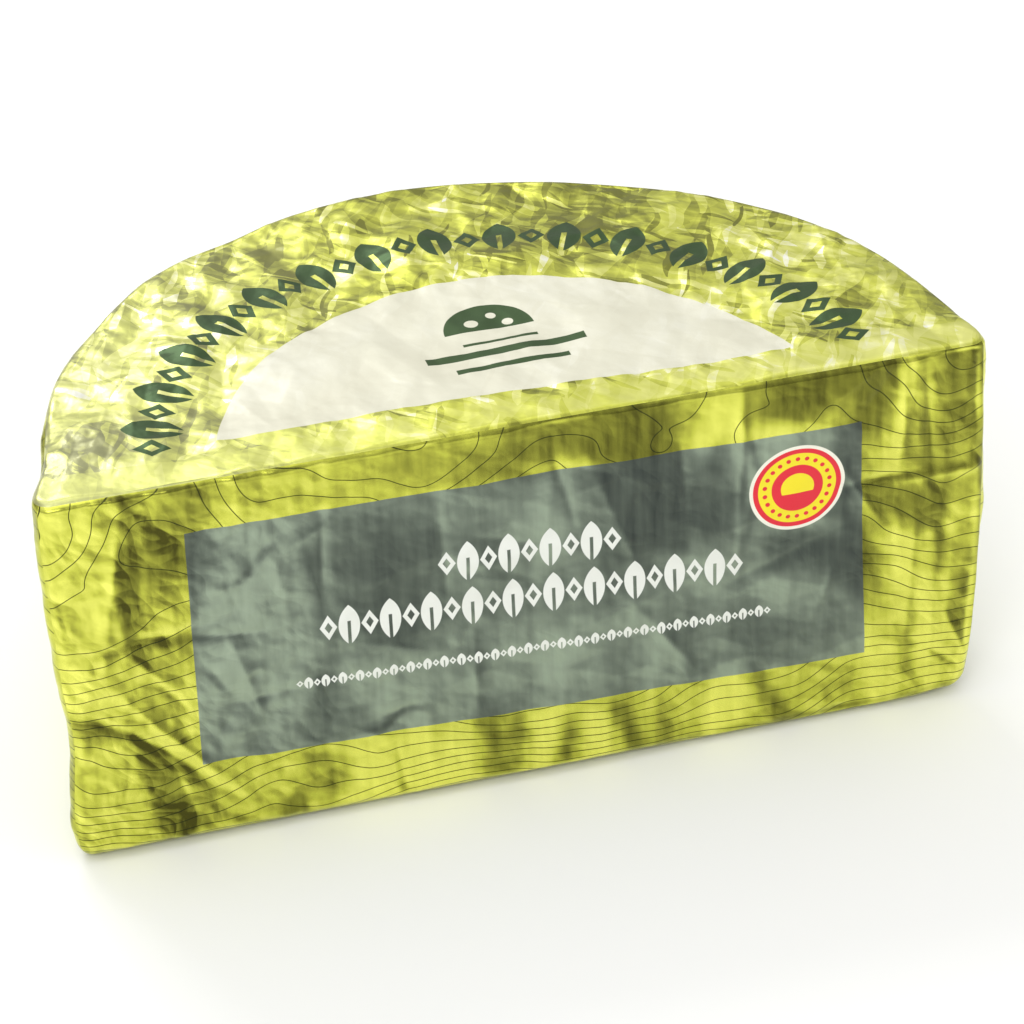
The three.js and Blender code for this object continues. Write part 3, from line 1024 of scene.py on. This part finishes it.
def rind_relief(point, normal):
    """Pleats and scattered crumples on the curved side."""
    own = own_face(np.hypot(normal[..., 0], normal[..., 1])) * eased(normal[..., 1], -0.69, -0.4)
    depth = 0.6 * creases(point, 15, 6) + 0.25 * creases(point, 6, 13) + 0.12 * creases(point, 3, 14)
    return pleats(point, normal) + own * depth


end_steps, back_steps, rind_rows = 90, 320, 130
round_along = np.concatenate([
    np.ones(end_steps), np.linspace(1, 0, back_steps + 1), np.zeros(end_steps)
])
round_deep = np.concatenate([
    np.linspace(0, 1, end_steps + 1)[:-1], np.ones(back_steps + 1), np.linspace(1, 0, end_steps + 1)[1:]
])
rind, formed, normal = foil_sheet(
    "rind_foil",
    round_along[None, :],
    round_deep[None, :],
    np.linspace(0, 1, rind_rows + 1)[:, None],
    rind_relief,
    lambda point: (
        spread(-np.arctan2(point[..., 1], point[..., 0])),
        spread(point[..., 2]),
    ),
)
place = formed + (0, wheel_radius / 2, 0)
straightened = np.stack([
    np.arctan2(place[..., 1], place[..., 0]) * wheel_radius, 0 * place[..., 1], place[..., 2]
], -1)
# Painted light on the rind: painted upright streaks of reflection and painted shade where the foil leans
# up, with random mottling
streaks = creases(straightened * (1, 1, 0.15), 6, 51) + creases(straightened * (1, 1, 0.35), 24, 52)
mottled = 0.14 * creases(straightened * (1, 1, 0.5), 9, 53) + 0.08 * creases(straightened, 3, 54)
set_painted_light_and_mottle(rind, 0.55 + 0.3 * streaks + mottled - 1.8 * lean(formed, normal, (0, 0, 1)))
set_painted_crumple_strength(rind, 0.28 + 0.25 * creases(straightened, 24, 55))
rind_print = Finish(bpy.data.materials.new("printed foil of the rind"))
spot, (x, y, z) = rind_print.place()
turned = rind_print.maths("ARCTAN2", y + wheel_radius / 2, x)
tone = upright_painted_light(rind_print, turned * wheel_radius, z)
lines = contour_lines(rind_print, turned * wheel_radius, z)
foil = foil_colour(rind_print, tone, foil_painted_shade, foil_yellow, foil_painted_highlight)
colour = rind_print.mix(lines * line_cover, foil, line_ink)
rind_print.dress(
    rind, Base_Color=colour, Metallic=0.9, Roughness=0.26, Normal=rind_print.crinkle(spot)
)
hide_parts(wrapped_node)
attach(rind, "root")

# Foil under the base
# The sheet's edges are folded in under the cheese and pressed flat in the middle, which
# the pack stands on. Nothing is printed there but the lacquer.
base_folds = 24


def base_relief(point, normal):
    """Folds gathered towards the flat middle, hollow between them and never proud."""
    from_middle = point[..., :2] - (0, wheel_radius / 2)
    start = np.linalg.norm(from_middle, axis=-1) - base_flat_radius
    rise = eased(start, 0, 12)
    off_rim = eased(inside_outline(point[..., :2])[0], 2, 16)
    turns = base_folds * np.arctan2(from_middle[..., 1], from_middle[..., 0]) / (2 * np.pi)
    fold = np.abs(2 * (turns - np.floor(turns)) - 1)
    small = 0.2 + 0.2 * creases(point, 7, 15)
    return pleats(point, normal) - own_face(-normal[..., 2]) * rise * (fold * off_rim + small)


base_steps = (320, 140)
base, formed, normal = foil_sheet(
    "base_foil",
    np.linspace(1, 0, base_steps[0] + 1)[None, :],
    np.linspace(0, 1, base_steps[1] + 1)[:, None],
    np.zeros((1, 1)),
    base_relief,
    lambda point: (spread(point[..., 0]), spread(point[..., 1])),
)
# Painted light on the base: random mottling, and painted reflection brighter where a fold leans forward
# and to the left
set_painted_light_and_mottle(base, 0.55 + 0.15 * creases(formed, 16, 61) + 0.8 * lean(formed, normal, (-0.6, -0.8, 0)))
base_print = Finish(bpy.data.materials.new("plain foil of the base"))
spot = base_print.place()[0]
base_print.dress(
    base,
    Base_Color=foil_colour(base_print, base_print.kept("tone"), foil_painted_shade, foil_yellow, foil_painted_highlight),
    Metallic=0.9,
    Roughness=0.28,
    Normal=base_print.crinkle(spot),
)
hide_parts(wrapped_node)
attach(base, "root")

# Studio
# A plain pale floor, one broad soft light high at the left and back, a weaker one at the
# front, and a pale surround.
floor_mesh = bpy.data.meshes.new("floor")
floor_mesh.from_pydata([(-4, -4, 0), (4, -4, 0), (4, 4, 0), (-4, 4, 0)], [], [(0, 1, 2, 3)])
floor = bpy.data.objects.new("floor", floor_mesh)
bpy.context.scene.collection.objects.link(floor)
floor_finish = Finish(bpy.data.materials.new("pale floor"))
floor_finish.dress(floor, Base_Color=(0.86, 0.86, 0.85, 1), Roughness=0.8)


def soft_light(name, place, aim, width, height, power):
    lamp = bpy.data.lights.new(name, "AREA")
    lamp.shape = "RECTANGLE"
    lamp.size = width
    lamp.size_y = height
    lamp.energy = power
    stand = bpy.data.objects.new(name, lamp)
    stand.location = place
    stand.rotation_euler = (Vector(aim) - Vector(place)).to_track_quat("-Z", "Y").to_euler()
    bpy.context.scene.collection.objects.link(stand)


soft_light("key light", (-0.25, 1.0, 1.05), (0, 0, 0.05), 0.6, 0.4, 6)
soft_light("overhead light", (-0.3, -0.3, 1.6), (0, 0, 0), 1.2, 1.2, 5)
soft_light("front light", (-0.5, -1.2, 1.0), (0, -0.15, 0), 0.9, 0.7, 9)

surround = Finish(bpy.data.worlds.new("surround"), "BACKGROUND")
way = surround.node("ShaderNodeTexCoord", {}, {}, "Generated")
height = surround.node("ShaderNodeSeparateXYZ", {}, {"Vector": way}, 2)
level_strength, overhead_gain = 0.42, 0.55
strength = surround.maths("MULTIPLY_ADD", height, overhead_gain, level_strength)
surround.feed(surround.shader.inputs["Color"], (1, 1, 1, 1))
surround.feed(surround.shader.inputs["Strength"], strength)
bpy.context.scene.world = surround.owner
bpy.context.scene.view_settings.view_transform = "Standard"
